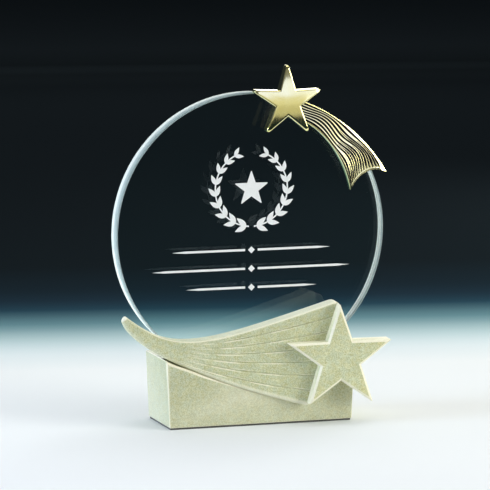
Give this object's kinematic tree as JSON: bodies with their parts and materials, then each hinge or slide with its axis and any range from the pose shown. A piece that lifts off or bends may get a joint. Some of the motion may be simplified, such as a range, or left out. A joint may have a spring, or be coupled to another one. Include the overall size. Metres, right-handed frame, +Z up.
{
  "type": "star trophy",
  "caption": "Free-standing award: a clear disc on edge in a cast-stone base with a stone shooting star across the front, and a gilt shooting star on the disc's rim.",
  "frame": {"origin": "middle of the felt's resting face, on the table", "axes": "+Z up, front towards -Y, +X to the right when facing the award"},
  "size_m": [0.1794, 0.0646, 0.2272],
  "materials": {
    "cast_stone": "fine sand-cast, matt",
    "steel": "plain",
    "clear_acrylic": "flame polished",
    "clear_bedding": "clear bonding compound",
    "felt": "felt",
    "gilt_metal": "polished gilt",
    "black_enamel": "gloss enamel",
    "white_print": "screen-printed enamel"
  },
  "bodies": {
    "root": {"base_block": "cast_stone", "swoosh_plate": "cast_stone", "stone_star": "cast_stone", "plate_dowels": "steel", "star_dowels": "steel", "award_disc": "clear_acrylic", "slot_bedding": "clear_bedding", "disc_screws": "steel", "screw_washers": "steel", "base_felt": "felt", "gilt_star": "gilt_metal", "gilt_tail": "gilt_metal", "tail_enamel": "black_enamel", "star_bond": "clear_bedding", "tail_bond": "clear_bedding", "wreath_print": "white_print", "rule_print": "white_print"}
  },
  "joints": []
}
